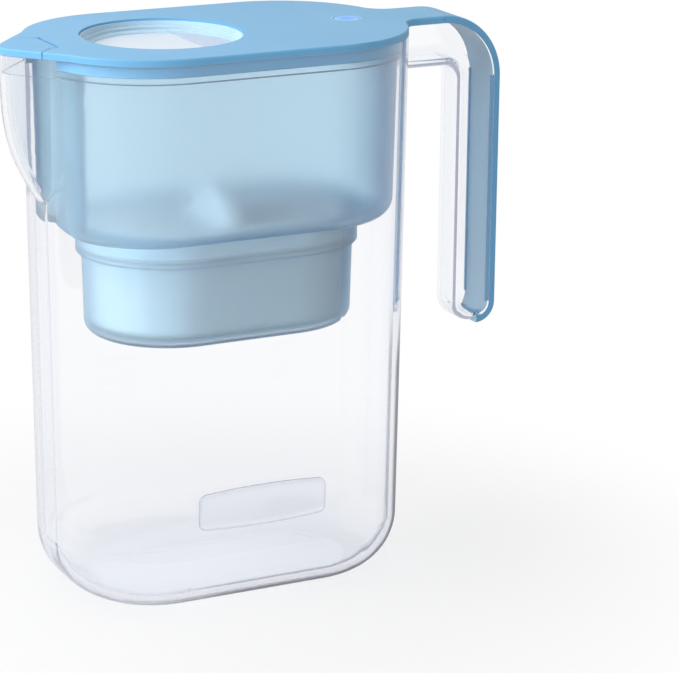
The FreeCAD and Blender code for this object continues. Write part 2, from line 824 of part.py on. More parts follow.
def make_cap():
    outer_length = upper_half_length - s.cartridge_gap
    outer_width = upper_half_width - s.cartridge_gap
    cap_top = cap_low + s.cap_thickness
    plate = oval_form("cap_plate", cap_low, cap_top, outer_length, outer_width)
    fillet(plate, s.cap_thickness / 2, at_level(cap_top))
    plug_low = cap_low - s.cap_plug_depth
    plug = oval_form("cap_plug", plug_low, cap_low, cup_inner_length - s.cap_plug_gap,
                     cup_inner_width - s.cap_plug_gap)
    plateau_low = cap_top - s.plateau_depth
    plateau = oval_form("cap_plateau", plateau_low, cap_top + s.overrun, outer_length - s.plateau_margin,
                        outer_width - s.plateau_margin)

    # Half-moon handle across the middle, dished on both faces for thumb and finger
    arch = new_body("cap_arch")
    radius = (s.arch_half_width * s.arch_half_width + s.arch_height * s.arch_height) / (s.arch_height * 2)
    moon = outline(arch, "YZ_Plane", [
        (s.arch_half_width, plateau_low),
        (NOTHING, plateau_low + s.arch_height, radius, 1),
        (-s.arch_half_width, plateau_low, radius, 1),
    ])
    pad(arch, moon, s.arch_thickness, both=True)
    waist = plateau_low.value + s.arch_height.value / 2
    fillet(arch, s.arch_edge_radius,
           lambda edge: edge.BoundBox.ZMax > waist and edge.BoundBox.XLength < TINY)
    dishes = []
    for side in (-1, 1):
        dish = doc.addObject("Part::Sphere", "cap_dish")
        bind(dish, "Radius", s.dish_radius)
        bind(dish, "Placement.Base.x", side * (s.arch_thickness / 2 + s.dish_radius - s.dish_depth))
        bind(dish, "Placement.Base.z", plateau_low + s.arch_height / 2)
        dishes.append(dish)

    holes = []
    for side in (-1, 1):
        for ring in range(1, ROSETTE_RINGS + 1):
            for spoke in range(ROSETTE_SPOKES):
                turn = 2 * math.pi * spoke / ROSETTE_SPOKES
                reach = s.rosette_pitch * ring
                x = side * s.rosette_x + reach * math.cos(turn)
                y = reach * math.sin(turn)
                holes.append(cylinder("inlet_hole", x, y, plug_low - s.overrun, cap_top + s.overrun,
                                      s.rosette_hole_radius))
    top = cut("cap_top", plate, plateau)
    handle = cut("cap_handle", arch, *dishes)
    drilled = cut("cap_drilled", fuse("cap_base", top, plug), *holes)
    return node("cartridge_cap", fuse("cap_whole", drilled, handle))


# The fill well in the lid: its ring, and the flap that turns on a pin beside the well's middle
flap_top = lid_top - s.flap_drop
flap_bottom = flap_top - s.flap_thickness
ring_foot = flap_top - s.ring_foot_drop
ring_outer = s.well_radius - s.well_gap
ring_inner = ring_outer - s.ring_wall
flap_radius = ring_inner - s.flap_rim_gap
pivot_x = well_x + s.flap_pivot_offset
pivot_z = flap_top - s.flap_pivot_drop
pin_room = square_root(ring_outer * ring_outer - s.flap_pivot_offset * s.flap_pivot_offset)
pin_half_length = pin_room - s.flap_pin_end_wall


def well_ring_profile(body):
    top = lid_top - s.ring_top_drop
    ledge = top - s.ring_step_drop
    lip_low = flap_top + s.flap_lip_gap
    lip_high = lip_low + s.ring_lip_height
    lip_radius = flap_radius - s.ring_lip_cover
    flange_high = lid_bottom - s.well_gap
    flange_low = flange_high - s.ring_flange_height
    flange_radius = ring_outer + s.ring_flange_width
    step = ring_outer - s.ring_step_wall
    mouth = ring_outer - s.ring_mouth_wall
    return outline(body, "XZ_Plane", [
        (ring_outer, ring_foot),
        (ring_outer, flange_low),
        (flange_radius, flange_low),
        (flange_radius, flange_high),
        (ring_outer, flange_high),
        (ring_outer, top),
        (mouth, top),
        (mouth, ledge + s.ring_step_chamfer),
        (step, ledge),
        (step, lip_high + s.ring_step_chamfer),
        (lip_radius, lip_high),
        (lip_radius, lip_low),
        (ring_inner, lip_low),
        (ring_inner, ring_foot),
    ])


def make_fill_ring():
    ring = new_body("fill_ring_turned")
    revolve(ring, well_ring_profile(ring))
    bind(ring, "Placement.Base.x", well_x)
    # On the short side the flap swings up, so the lip ends at the pivot.
    lip_round = cylinder("lip_round", well_x, NOTHING, flap_top, lid_top, ring_inner)
    lip_side = box("lip_side", (pivot_x - s.flap_knuckle_radius, -s.well_radius, ring_foot),
                   (well_x + s.well_radius, s.well_radius, lid_top))
    lip_cut = common("lip_cut", lip_round, lip_side)
    pin_hole = cross_pin("flap_pin_hole", pivot_x, pivot_z, s.flap_pin_radius + s.pin_seat_gap,
                         -ring_outer, ring_outer)
    node("fill_ring", cut("fill_ring", ring, lip_cut, pin_hole))
    node("flap_pin", cross_pin("flap_pin", pivot_x, pivot_z, s.flap_pin_radius, -pin_half_length,
                               pin_half_length))


def make_fill_flap():
    """Flap with two knuckles under its pivot, and a weight staked under its short side to close it."""
    disc = cylinder("flap_disc", well_x, NOTHING, flap_bottom, flap_top, flap_radius)
    crease_half = s.flap_crease_width / 2
    crease = box("flap_crease", (pivot_x - crease_half, -flap_radius, flap_top - s.flap_crease_depth),
                 (pivot_x + crease_half, flap_radius, flap_top + s.overrun))
    near, far = s.flap_knuckle_near, s.flap_knuckle_far
    knuckles = []
    for start, end in ((near, far), (-far, -near)):
        knuckles.append(cross_pin("flap_knuckle", pivot_x, pivot_z, s.flap_knuckle_radius, start, end))
        knuckles.append(box("flap_web", (pivot_x - s.flap_knuckle_radius, start, pivot_z),
                            (pivot_x + s.flap_knuckle_radius, end, flap_bottom)))
    bore = cross_pin("flap_bore", pivot_x, pivot_z, s.flap_pin_radius + s.pin_running_gap,
                     -flap_radius, flap_radius)
    weight_top = flap_bottom - s.weight_gap
    weight_low = weight_top - s.weight_thickness
    stake_x = pivot_x + s.stake_offset
    stake_sides = (-s.stake_half_spacing, s.stake_half_spacing)
    stakes = [cylinder("flap_stake", stake_x, side, weight_low, flap_bottom, s.stake_radius)
              for side in stake_sides]
    solid = fuse("flap_solid", disc, *knuckles, *stakes)
    node("fill_flap", cut("fill_flap", solid, bore, crease))

    round_blank = cylinder("weight_round", well_x, NOTHING, weight_low, weight_top,
                           flap_radius - s.weight_rim_gap)
    short_side = box("weight_side", (pivot_x + s.weight_start, -s.well_radius, weight_low - s.overrun),
                     (well_x + s.well_radius, s.well_radius, flap_top))
    holes = [cylinder("weight_hole", stake_x, side, weight_low - s.overrun, weight_top + s.overrun,
                      s.stake_radius + s.stake_gap) for side in stake_sides]
    weight = common("weight_blank", round_blank, short_side)
    node("flap_counterweight", cut("flap_counterweight", weight, *holes))


# Top plate of the lid, before the spout flap is parted from it
hinge_x = s.hinge_inset - s.rim_half_length
hinge_z = lid_bottom + s.lid_thickness / 2
barrel_radius = s.lid_thickness / 2
spout_pin_half_length = s.hinge_half_width + s.spout_pin_hold


def make_top_plate():
    """Plate with the tongue over the handle, blended by round roots, and the beak over the spout."""
    body = new_body("lid_plate")
    x, y, radius = s.rim_half_length, s.rim_half_width, rim_corner_radius
    half = s.handle_width / 2
    # The root arc touches the plate's corner arc and the tongue's side.
    rise = half + s.tongue_root_radius - (y - radius)
    span = radius + s.tongue_root_radius
    root_x = x - radius + square_root(span * span - rise * rise)
    touch_x = x - radius + (root_x - x + radius) * radius / span
    touch_y = y - radius + rise * radius / span
    pad(body, outline(body, "XY_Plane", [
        (x - radius, -y),
        (touch_x, -touch_y, radius, 1),
        (root_x, -half, s.tongue_root_radius, -1),
        (tongue_end_x, -half),
        (tongue_end_x, half),
        (root_x, half),
        (touch_x, touch_y, s.tongue_root_radius, -1),
        (x - radius, y, radius, 1),
        (radius - x, y),
        (-x, y - radius, radius, 1),
        (-x, radius - y),
        (radius - x, -y, radius, 1),
    ], lid_bottom), s.lid_thickness)
    seam = tongue_end_x.value - TINY
    fillet(body, s.lid_edge_radius, lambda edge: at_level(lid_top)(edge) and edge.BoundBox.XMin < seam)
    beak_top = beak_plate("lid_beak", lid_bottom, lid_top, 0, s.lid_edge_radius.value)
    return fuse("lid_top_plate", body, beak_top)


def spout_flap_plan(name, back_gap, side_gap):
    """The spout flap's plan as an upright solid, with its back edge and sides let out by gaps. The sides
    run straight past the barrel and then spread to the outline, so that the flap clears them as it lifts."""
    body = new_body(name)
    back = hinge_x + back_gap
    half = s.hinge_half_width + side_gap
    turn = hinge_x - s.flap_side_run
    wide = half + s.flap_spread
    tip = -s.rim_half_length - s.spout_reach - s.overrun
    pad(body, outline(body, "XY_Plane", [
        (back, half),
        (turn, half),
        (turn - s.flap_spread, wide),
        (tip, wide),
        (tip, -wide),
        (turn - s.flap_spread, -wide),
        (turn, -half),
        (back, -half),
    ], lid_bottom - s.overrun), s.lid_thickness + s.overrun * 2)
    return body


def make_spout_flap(top):
    plan = spout_flap_plan("spout_flap_plan", NOTHING, NOTHING)
    barrel = cross_pin("spout_flap_barrel", hinge_x, hinge_z, barrel_radius, -s.hinge_half_width,
                       s.hinge_half_width)
    bore = cross_pin("spout_flap_bore", hinge_x, hinge_z, s.spout_pin_radius + s.pin_running_gap,
                     -spout_pin_half_length, spout_pin_half_length)
    solid = fuse("spout_flap_solid", common("spout_flap_plate", top, plan), barrel)
    node("spout_flap", cut("spout_flap", solid, bore))
    node("spout_flap_pin", cross_pin("spout_flap_pin", hinge_x, hinge_z, s.spout_pin_radius,
                                     -spout_pin_half_length, spout_pin_half_length))


# Filter indicator: heights of its stack under the lid, from the top down
button_top = lid_top - s.button_top_drop
button_flange_high = lid_bottom - s.button_seal_gap * 2 - s.button_seal_height
button_flange_low = button_flange_high - s.button_flange_height
button_low = button_flange_low - s.button_stem_drop
switch_top = button_low - s.button_travel - s.button_seal_gap
board_top = switch_top - s.switch_height - s.led_height / 2
board_low = board_top - s.board_thickness
clip_top = board_low - s.clip_gap
cell_top = clip_top - s.clip_thickness - s.clip_gap
cell_low = cell_top - s.cell_height
housing_bottom = cell_low + s.cell_show
gasket_top = housing_bottom - s.gasket_gap
gasket_low = gasket_top - s.gasket_height
cover_top = gasket_low - s.gasket_gap
cover_low = cover_top - s.module_cover_thickness

# Its widths, from the cell out
clip_reach = s.cell_radius + s.clip_gap + s.clip_thickness
board_radius = clip_reach + s.board_margin
housing_inner = board_radius + s.board_side_gap
housing_radius = housing_inner + s.housing_wall
screw_offset = housing_radius + s.screw_stand_off
screw_sides = (-screw_offset, screw_offset)


def make_lid():
    top = make_top_plate()
    make_spout_flap(top)

    skirt_wall = s.rim_wall + s.skirt_gap
    skirt_bottom = tank_flange_high + s.skirt_rest_gap
    skirt = jug_form("skirt_outside", skirt_bottom, lid_bottom, skirt_wall)
    skirt_hollow = jug_form("skirt_hollow", skirt_bottom - s.overrun, lid_bottom,
                            skirt_wall + s.skirt_thickness)
    notch_side = s.channel_half_width + s.skirt_notch_gap
    notch = box("skirt_notch", (-s.rim_half_length, -notch_side, skirt_bottom - s.overrun),
                (channel_back_x, notch_side, lid_bottom))
    ring = cut("lid_skirt", skirt, skirt_hollow, notch)
    nub_height = skirt_bottom + s.nub_rise
    slope = s.wall_draft_share * (s.jug_height - nub_height)
    nub_y = s.rim_half_width - slope - skirt_wall + s.nub_proud - s.nub_radius
    nubs = []
    for side in (-1, 1):
        nub = doc.addObject("Part::Sphere", "skirt_nub")
        bind(nub, "Radius", s.nub_radius)
        bind(nub, "Placement.Base.y", side * nub_y)
        bind(nub, "Placement.Base.z", nub_height)
        nubs.append(nub)

    # Housing of the filter indicator, with a shelf that the board is pressed against
    x = module_x
    housing = [cylinder("housing_outside", x, NOTHING, housing_bottom, lid_bottom, housing_radius)]
    housing += [cylinder("screw_boss", x, side, housing_bottom, lid_bottom, s.screw_boss_radius)
                for side in screw_sides]
    shelf_low = board_top + s.board_seat_gap
    room = cylinder("housing_room", x, NOTHING, housing_bottom - s.overrun, shelf_low, housing_inner)
    shelf = cylinder("housing_shelf", x, NOTHING, shelf_low - s.overrun, lid_bottom,
                     housing_inner - s.housing_shelf_width)
    hole = cylinder("button_hole", x, NOTHING, lid_bottom - s.overrun, lid_top + s.overrun,
                    s.button_radius + s.button_hole_gap)
    recess = cylinder("light_ring_recess", x, NOTHING, lid_top - s.light_ring_height - s.light_ring_gap,
                      lid_top + s.overrun, s.light_ring_radius + s.light_ring_gap)
    screw_holes = [cylinder("screw_hole", x, side, housing_bottom - s.overrun,
                            housing_bottom + s.screw_depth, s.screw_radius + s.screw_hole_gap)
                   for side in screw_sides]

    well = cylinder("well_hole", well_x, NOTHING, lid_bottom - s.overrun, lid_top + s.overrun, s.well_radius)
    flap_room = spout_flap_plan("spout_flap_room", barrel_radius + s.spout_flap_back_gap, s.spout_flap_gap)
    pin_hole = cross_pin("spout_pin_hole", hinge_x, hinge_z, s.spout_pin_radius + s.pin_seat_gap,
                         -spout_pin_half_length, spout_pin_half_length)
    solid = fuse("lid_solid", top, ring, *nubs, *housing)
    return node("lid", cut("lid", solid, well, flap_room, pin_hole, room, shelf, hole, recess, *screw_holes))


def make_indicator():
    x = module_x
    stem = cylinder("button_stem", x, NOTHING, button_low, button_top, s.button_radius)
    rim = cylinder("button_flange", x, NOTHING, button_flange_low, button_flange_high,
                   s.button_flange_radius)
    node("indicator_button", fuse("indicator_button_whole", stem, rim))

    def ring(name, low, high, outer, inner):
        blank = cylinder(name + "_blank", x, NOTHING, low, high, outer)
        hole = cylinder(name + "_hole", x, NOTHING, low - s.overrun, high + s.overrun, inner)
        return node(name, cut(name, blank, hole))

    gap_radius = s.button_radius + s.button_hole_gap
    ring("light_ring", lid_top - s.light_ring_height, lid_top, s.light_ring_radius, gap_radius)
    ring("button_seal", button_flange_high + s.button_seal_gap, lid_bottom - s.button_seal_gap,
         s.button_flange_radius, gap_radius)
    ring("module_gasket", gasket_low, gasket_top, housing_radius, housing_inner)

    node("circuit_board", cylinder("circuit_board", x, NOTHING, board_low, board_top, board_radius))
    half = s.switch_half_width
    case = box("switch_case", (x - half, -half, board_top), (x + half, half, board_top + s.switch_height))
    plunger = cylinder("switch_plunger", x, NOTHING, board_top + s.switch_height, switch_top,
                       s.switch_plunger_radius)
    node("tact_switch", fuse("tact_switch_whole", case, plunger))
    half = s.led_half_width
    led_y = board_radius - s.led_inset
    node("indicator_led", box("indicator_led", (x - half, led_y - half, board_top),
                              (x + half, led_y + half, board_top + s.led_height)))

    # The clip bridges the cell and bends down beside it at both ends.
    half = s.clip_half_width
    strap = box("clip_strap", (x - clip_reach, -half, clip_top - s.clip_thickness),
                (x + clip_reach, half, clip_top))
    legs = []
    for start in (-clip_reach, clip_reach - s.clip_thickness):
        legs.append(box("clip_leg", (x + start, -half, cell_low),
                        (x + start + s.clip_thickness, half, clip_top)))
    node("battery_clip", fuse("battery_clip_whole", strap, *legs))
    rim_low = cell_top - s.cell_rim_height
    can = cylinder("cell_can", x, NOTHING, cell_low, rim_low, s.cell_radius)
    end = cylinder("cell_end", x, NOTHING, rim_low, cell_top, s.cell_radius - s.cell_rim_step)
    node("coin_cell", fuse("coin_cell_whole", can, end))

    cover = [cylinder("cover_disc", x, NOTHING, cover_low, cover_top, housing_radius),
             cylinder("cell_pad", x, NOTHING, cover_low, cell_low - s.cell_pad_gap, s.cell_pad_radius)]
    cover += [cylinder("cover_ear", x, side, cover_low, cover_top, s.screw_boss_radius)
              for side in screw_sides]
    holes = [cylinder("cover_hole", x, side, cover_low - s.overrun, cover_top + s.overrun,
                      s.screw_radius + s.screw_hole_gap) for side in screw_sides]
    node("module_cover", cut("module_cover", fuse("module_cover_solid", *cover), *holes))

    screws = []
    for side in screw_sides:
        shank = cylinder("screw_shank", x, side, cover_low, housing_bottom + s.screw_depth, s.screw_radius)
        head = cylinder("screw_head", x, side, cover_low - s.screw_head_height, cover_low,
                        s.screw_head_radius)
        screws.append(fuse("module_screw", shank, head))
    group = doc.addObject("Part::Compound", "module_screws")
    group.Links = screws
    node("module_screws", group)


make_jug()
make_handle_cover()
make_reservoir()
make_cup()
make_cup_contents()
make_cap()
make_fill_ring()
make_fill_flap()
make_lid()
make_indicator()
doc.recompute()

for item in doc.Objects:
    if "Invalid" in item.State or "Error" in item.State:
        raise RuntimeError("%s failed: %s" % (item.Name, item.State))
for name, item in NODES.items():
    shape = item.Shape
    if shape.isNull() or not shape.isValid() or not shape.Solids:
        raise RuntimeError("%s has no valid solid" % name)
    print("%-20s %d solid, %.1f mm3" % (name, len(shape.Solids), shape.Volume))

os.makedirs("parts", exist_ok=True)
for name, item in NODES.items():
    item.Shape.exportStep(os.path.join("parts", name + ".step"))
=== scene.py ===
# %% [markdown]
# # A water filter pitcher
# The pitcher is a clear jug with a tinted tank hanging in it, a white cartridge in the tank's pocket and a
# satin blue lid on top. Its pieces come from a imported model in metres, with the origin under the middle of
# the jug, so none of them has to be placed. This lesson dresses them: it sets up a camera and soft light,
# writes one finish for each material, and adds the thin plate that is moulded onto the jug.

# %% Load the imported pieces
import math

import bmesh
import bpy
from mathutils import Matrix, Vector
from mathutils.bvhtree import BVHTree


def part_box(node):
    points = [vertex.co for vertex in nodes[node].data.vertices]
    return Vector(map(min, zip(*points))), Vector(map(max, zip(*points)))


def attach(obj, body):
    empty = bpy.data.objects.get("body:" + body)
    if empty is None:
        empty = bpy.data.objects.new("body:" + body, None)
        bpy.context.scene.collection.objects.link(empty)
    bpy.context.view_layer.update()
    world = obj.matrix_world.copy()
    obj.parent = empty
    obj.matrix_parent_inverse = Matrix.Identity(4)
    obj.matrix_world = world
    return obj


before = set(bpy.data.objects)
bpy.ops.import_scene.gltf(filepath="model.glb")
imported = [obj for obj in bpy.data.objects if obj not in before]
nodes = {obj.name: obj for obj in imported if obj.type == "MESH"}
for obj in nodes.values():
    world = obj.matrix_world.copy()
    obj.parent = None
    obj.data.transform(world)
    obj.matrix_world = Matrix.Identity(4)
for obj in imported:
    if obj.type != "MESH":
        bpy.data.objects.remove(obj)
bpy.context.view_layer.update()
scene = bpy.context.scene
scene.view_settings.view_transform = "Standard"

# %% [markdown]
# ## Sums on sockets
# A finish is a network of nodes, and most of the nodes do small sums. They could be placed and linked one by
# one, but that hides the idea. So a socket is wrapped in a class with the usual operators: `1 - mask * 0.3`
# then adds the Math nodes itself. Colours keep clear of these sums, because a Math node turns them grey.


# %% A socket that does sums
class Wire:
    def __init__(self, finish, socket):
        self.finish = finish
        self.socket = socket

    def maths(self, operation, first, second):
        return self.finish.node("ShaderNodeMath", {"operation": operation}, {0: first, 1: second})

    def __add__(self, other):
        return self.maths("ADD", self, other)

    def __sub__(self, other):
        return self.maths("SUBTRACT", self, other)

    def __rsub__(self, other):
        return self.maths("SUBTRACT", other, self)

    def __mul__(self, other):
        return self.maths("MULTIPLY", self, other)

    def __lt__(self, other):
        return self.maths("LESS_THAN", self, other)

    def least(self, other):
        return self.maths("MINIMUM", self, other)

    def most(self, other):
        return self.maths("MAXIMUM", self, other)

    __radd__ = __add__
    __rmul__ = __mul__


# %% [markdown]
# ## A finish
# Every other node is made by one method. It takes the node's type, then its settings, and then the values
# or wires of its sockets. The settings come first, because they can change which sockets a node has. The
# short methods after it are the few nodes that nearly every finish of the pitcher needs.


# %% A finish and its nodes
class Finish:
    def __init__(self, name, tree=None):
        if tree is None:
            self.material = bpy.data.materials.new(name)
            self.material.use_nodes = True
            tree = self.material.node_tree
        self.tree = tree
        self.tree.nodes.clear()

    def node(self, kind, settings=None, sockets=None, output=0):
        made = self.tree.nodes.new(kind)
        for name, value in (settings or {}).items():
            setattr(made, name, value)
        for name, value in (sockets or {}).items():
            if isinstance(value, Wire):
                self.tree.links.new(value.socket, made.inputs[name])
            else:
                made.inputs[name].default_value = value
        return Wire(self, made.outputs[output]) if made.outputs else None

    def place(self):
        """Where a point lies on the piece, in the pitcher's own frame."""
        return self.node("ShaderNodeTexCoord", output="Object")

    def normal(self):
        """Which way the surface looks."""
        return self.node("ShaderNodeNewGeometry", output="Normal")

    def parts(self, vector):
        """A vector's x, y and z as numbers."""
        apart = self.node("ShaderNodeSeparateXYZ", {}, {0: vector})
        return [Wire(self, socket) for socket in apart.socket.node.outputs]

    def noise(self, scale, detail=2.0, stretch=(1, 1, 1)):
        spot = self.node("ShaderNodeVectorMath", {"operation": "MULTIPLY"}, {0: self.place(), 1: stretch})
        sockets = {"Vector": spot, "Scale": scale, "Detail": detail}
        return self.node("ShaderNodeTexNoise", {}, sockets, "Fac")

    def slant(self):
        """Nought where the surface faces the eye, and one where it turns edge on."""
        return self.node("ShaderNodeLayerWeight", {}, {"Blend": 0.5}, "Facing")

    def path(self, question):
        """What Light Path says about the ray."""
        return self.node("ShaderNodeLightPath", output=question)

    def fade(self, value, low, high):
        """Nought below low, one above high and smooth between."""
        settings = {"interpolation_type": "SMOOTHSTEP"}
        sockets = {"Value": value, "From Min": low, "From Max": high}
        return self.node("ShaderNodeMapRange", settings, sockets)

    def tint(self, share, first, second):
        """A colour between two colours."""
        settings = {"data_type": "RGBA", "blend_type": "MIX"}
        return self.node("ShaderNodeMix", settings, {0: share, 6: first, 7: second}, output=2)

    def bump(self, height, distance):
        return self.node("ShaderNodeBump", {}, {"Height": height, "Distance": distance, "Strength": 1.0})

    def surface(self, **sockets):
        named = {key.replace("_", " "): value for key, value in sockets.items()}
        return self.node("ShaderNodeBsdfPrincipled", {}, named)

    def mix(self, share, first, second):
        return self.node("ShaderNodeMixShader", {}, {0: share, 1: first, 2: second})

    def done(self, shader):
        self.node("ShaderNodeOutputMaterial", {}, {"Surface": shader})
        print("finish", self.material.name, "with", len(self.tree.nodes), "nodes")
        return self.material


def dress(material, *names):
    """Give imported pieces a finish."""
    for name in names:
        slots = nodes[name].data.materials
        slots.clear()
        slots.append(material)
    print(material.name, "on", ", ".join(names))


# %% [markdown]
# ## Camera
# The picture was taken with a long lens from the left front, a little above the lid. A camera could be moved
# by hand until it looks right. Here its place was worked out from points on the pitcher whose position is
# known, because then every edge falls where it should. It has a tiny roll and needs no lens shift.

# %% Camera
CAMERA_PLACE = (-0.54446, -1.19865, 0.50998)
CAMERA_TURN, CAMERA_LIFT, CAMERA_ROLL = (math.radians(angle) for angle in (-26.9218, 16.6568, 0.5745))
CAMERA_LENS, CAMERA_SENSOR, CAMERA_NEAR = 155.218, 36, 0.05

back = Vector((math.sin(CAMERA_TURN) * math.cos(CAMERA_LIFT),
               -math.cos(CAMERA_TURN) * math.cos(CAMERA_LIFT), math.sin(CAMERA_LIFT)))
level = Vector((math.cos(CAMERA_TURN), math.sin(CAMERA_TURN), 0))
rise = back.cross(level)
right = level * math.cos(CAMERA_ROLL) + rise * math.sin(CAMERA_ROLL)
up = rise * math.cos(CAMERA_ROLL) - level * math.sin(CAMERA_ROLL)
camera = bpy.data.objects.new("camera", bpy.data.cameras.new("camera"))
camera.data.sensor_width = CAMERA_SENSOR
camera.data.lens = CAMERA_LENS
camera.data.clip_start = CAMERA_NEAR
camera.matrix_world = Matrix.Translation(CAMERA_PLACE) @ Matrix((right, up, back)).transposed().to_4x4()
scene.collection.objects.link(camera)
scene.camera = camera
print("camera at", tuple(round(x, 3) for x in camera.location))

# %% [markdown]
# ## White studio
# The pitcher stands on white paper in a white room. Stronger light would make the paper white, but it would
# wash out the pitcher too. So the world has two strengths. A ray that shows it, straight, in a mirror or
# through clear plastic, finds white, and a ray that gathers light finds less. Light Path tells them apart.
# A real milky tank hands light on inside itself until it is nearly as bright as the room. That takes too many
# bounces to follow, so a ray that comes out through plastic gathers more.

# %% White world
WHITE = (1, 1, 1, 1)
AMBIENT, INSIDE_GAIN = 0.56, 0.9


def before_matt(finish):
    """One until the ray has met a matt surface, and nought after it."""
    return finish.path("Diffuse Depth") < 0.5


def seen(finish):
    """One for a ray that shows the studio, and nought for one that gathers light."""
    shown = finish.path("Is Camera Ray") + finish.path("Is Glossy Ray") + finish.path("Is Transmission Ray")
    return shown.least(1.0) * before_matt(finish)


world = bpy.data.worlds.new("studio")
world.use_nodes = True
sky = Finish("studio", world.node_tree)
sky_seen = seen(sky)
gathered = (1 + sky.path("Is Transmission Ray") * INSIDE_GAIN) * AMBIENT
strength = sky_seen + (1 - sky_seen) * gathered
background = sky.node("ShaderNodeBackground", {}, {"Color": WHITE, "Strength": strength})
sky.node("ShaderNodeOutputWorld", {}, {"Surface": background})
scene.world = world
print("world with", len(world.node_tree.nodes), "nodes")

# %% [markdown]
# ## White floor
# The paper is one large face. A plain matt white would come out grey, so it also glows. Near the pitcher the
# matt share is larger, and that keeps the soft shadow. A ray that gathers light finds a dimmer paper, or the
# floor would light the jug from below.

# %% White floor
FLOOR_REACH, FLOOR_DROP = 14, -0.0003
FLOOR_MATT, FLOOR_DIM = (0.86, 0.86, 0.87, 1), (0.6, 0.6, 0.61, 1)
SHADOW_REACH, SHADOW_SHARE = (0.1, 0.3), 0.34

corners = [(x * FLOOR_REACH, y * FLOOR_REACH, FLOOR_DROP) for x, y in ((-1, -1), (1, -1), (1, 1), (-1, 1))]
sheet = bpy.data.meshes.new("floor")
sheet.from_pydata(corners, [], [(0, 1, 2, 3)])
floor = bpy.data.objects.new("floor", sheet)
scene.collection.objects.link(floor)

paper = Finish("floor_paper")
matt = paper.node("ShaderNodeBsdfDiffuse", {}, {"Color": FLOOR_MATT})
dim = paper.node("ShaderNodeBsdfDiffuse", {}, {"Color": FLOOR_DIM})
glow = paper.node("ShaderNodeEmission", {}, {"Color": WHITE, "Strength": 1.0})
away = paper.node("ShaderNodeVectorMath", {"operation": "LENGTH"}, {0: paper.place()}, "Value")
glow_share = paper.fade(away, *SHADOW_REACH) * SHADOW_SHARE + (1 - SHADOW_SHARE)
sheet.materials.append(paper.done(paper.mix(seen(paper), dim, paper.mix(glow_share, matt, glow))))

# %% [markdown]
# ## Soft lamps
# The light comes from the left: the left ends of the pocket and of the lid are palest. Small lamps would draw
# hard spots on the satin lid, so these are wide areas. They are hidden from the eye and from rays that pass
# through plastic, because the clear jug would show their outlines.

# %% Soft lamps
LAMP_AIM = Vector((0, 0, 0.2))


def soft_lamp(name, place, size, watts):
    lamp = bpy.data.lights.new(name, "AREA")
    lamp.shape = "RECTANGLE"
    lamp.size, lamp.size_y = size
    lamp.energy = watts
    made = bpy.data.objects.new(name, lamp)
    made.location = place
    made.rotation_euler = (Vector(place) - LAMP_AIM).to_track_quat("Z", "Y").to_euler()
    made.visible_camera = False
    made.visible_transmission = False
    scene.collection.objects.link(made)
    print(name, watts, "W")


soft_lamp("key_lamp", (-0.93, -0.32, 0.4), (0.5, 0.5), 2.9)
soft_lamp("top_lamp", (-0.55, 0.0, 0.65), (0.4, 0.5), 3.3)
soft_lamp("front_lamp", (-0.6, -1.4, 0.3), (0.4, 0.9), 1.5)

# %% [markdown]
# ## Edges of clear plastic
# The jug and its hook handle are one clear moulding. On white, clear plastic almost vanishes, and only its
# edges draw it, where the eye looks along the wall. Their darkness here is painted shade, which stands in
# for the dark refractions and shade on the walls. Absorption in a volume inside the wall would be slow and
# noisy in a wall this thin, and Layer Weight finds the same places at once. First a lavender veil of painted
# shade comes in, and then, low on the handle's side away from the lamps, a navy edge of painted shade. The
# base is so widely rounded that its edge would be a hair line, so there the painted navy follows the way the
# surface looks.

# %% Edges of clear plastic
# The first range marks the side away from the lamps, where more navy is painted as shade.
SHADED_SIDE, HANDLE_SIDE, BEAK_SIDE = (-0.07, 0.0), (0.108, 0.112), (-0.1, -0.07)
LOW_WALL, FOOT_WALL, BASE_WALL = (0.1, 0.14), (0.004, 0.03), (0.008, 0.014)
FLAT_WALL, EDGE_TURN, EDGE_SHIFT = (0.75, 0.95), (0.83, 0.95), 0.12
BASE_UNDER, BASE_TURN = (-0.995, -0.97), (-0.87, -0.77)
VEIL_MOST, VEIL_RIPPLE, VEIL_BEAK, VEIL_FOOT = 0.9, 0.2, 0.4, 0.4
EDGE_LEAST, EDGE_DEEP_SHADE, BASE_SHADED_SIDE = 0.15, 0.75, 0.65


def veil_share(finish, slant, waves, turns):
    """How much lavender painted shade shows: on turning walls, less at the spout, a little round the foot."""
    along, _, height = finish.parts(finish.place())
    foot = 1 - finish.fade(height, *FOOT_WALL)
    beak = 1 - finish.fade(along, *BEAK_SIDE)
    turning = finish.fade(slant, *turns) * (VEIL_MOST + waves * VEIL_RIPPLE - beak * VEIL_BEAK)
    return turning.most(foot * VEIL_FOOT)


def edge_shade_share(finish, slant):
    """How much navy shade is painted: on turning walls, mostly low on the handle's side, round the base."""
    along, _, height = finish.parts(finish.place())
    _, front, rise = finish.parts(finish.normal())
    # Painted shade: more navy on the side away from the lamps, most of all low on it.
    far = finish.fade(along, *SHADED_SIDE)
    low = (1 - finish.fade(height, *LOW_WALL)) * (1 - finish.fade(along, *HANDLE_SIDE))
    deep_shade = far * low * (1 - finish.fade(front * front, *FLAT_WALL))
    turning = finish.fade(slant + deep_shade * EDGE_SHIFT, *EDGE_TURN) * (EDGE_LEAST + deep_shade * EDGE_DEEP_SHADE)
    base = finish.fade(rise, *BASE_UNDER) * (1 - finish.fade(rise, *BASE_TURN))
    base = base * (1 - finish.fade(height, *BASE_WALL)) * (EDGE_LEAST + far * BASE_SHADED_SIDE)
    return turning.most(base * before_matt(finish))


# %% [markdown]
# ## Clear plastic
# The shader bends light as the real resin does, with a slow ripple from the mould in its bump. Two things help
# it. Lamps pass straight through, because bent lamp light would be noise, and what stands inside must be lit.
# Light that is trapped in the wall would end black when its bounces run out, so after three mirrorings it ends
# in lavender.

